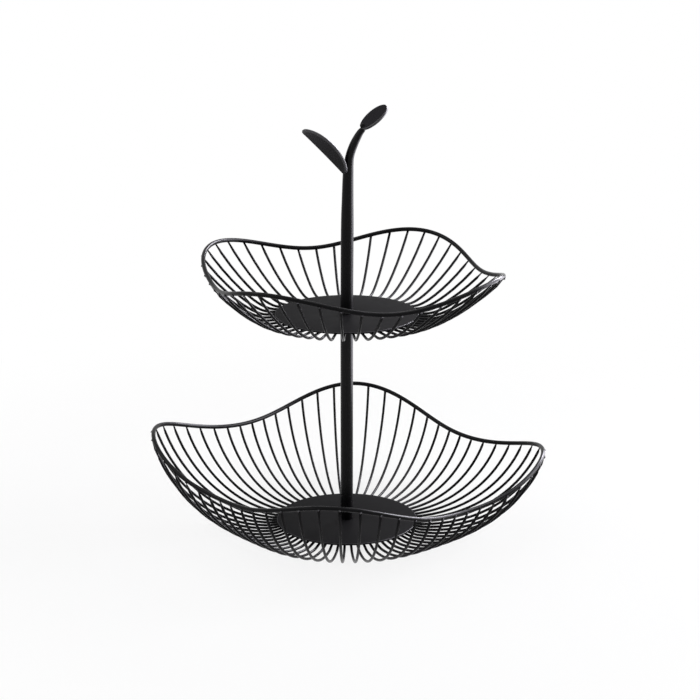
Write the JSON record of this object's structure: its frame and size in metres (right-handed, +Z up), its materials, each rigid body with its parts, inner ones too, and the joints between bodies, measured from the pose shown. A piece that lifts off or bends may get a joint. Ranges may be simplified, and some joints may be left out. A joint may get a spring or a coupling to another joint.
{
  "type": "two-tier fruit stand",
  "caption": "Tiered wire fruit stand: open bowls with wavy rims on a centre pole that ends in a leafy twig, for fruit on a table.",
  "frame": {"origin": "on the table surface, on the pole's axis, at the middle of the object's footprint", "axes": "+Z up along the pole; -Y towards the viewer of the picture; +X to the viewer's right, where the small leaf points"},
  "size_m": [0.3274, 0.3273, 0.3518],
  "materials": {
    "wire": "satin black powder coat on round steel wire",
    "plate": "satin black powder coat on sheet steel",
    "pole": "semi-gloss black powder coat on steel tube",
    "twig": "semi-gloss black coat on cast metal",
    "hardware": "zinc-plated steel"
  },
  "bodies": {
    "root": {"lower_rim": "wire", "lower_ribs_1": "wire", "lower_ribs_2": "wire", "lower_ribs_3": "wire", "lower_ribs_4": "wire", "lower_ribs_5": "wire", "lower_ribs_6": "wire", "lower_ribs_7": "wire", "lower_ribs_8": "wire", "lower_plate": "plate", "pole_tube": "pole", "pole_bottom_insert": "hardware", "pole_top_insert": "hardware", "base_screw": "hardware", "base_washer": "hardware", "joining_stud": "hardware", "twig": "twig", "left_leaf": "twig", "right_leaf": "twig"},
    "upper_basket": {"upper_rim": "wire", "upper_ribs_1": "wire", "upper_ribs_2": "wire", "upper_ribs_3": "wire", "upper_ribs_4": "wire", "upper_ribs_5": "wire", "upper_ribs_6": "wire", "upper_ribs_7": "wire", "upper_ribs_8": "wire", "upper_plate": "plate"}
  },
  "joints": [
    {"name": "upper_basket_swivel", "type": "hinge", "parent": "root", "child": "upper_basket", "pos_m": [0, 0, 0.1827], "axis": [0, 0, 1], "continuous": true}
  ]
}
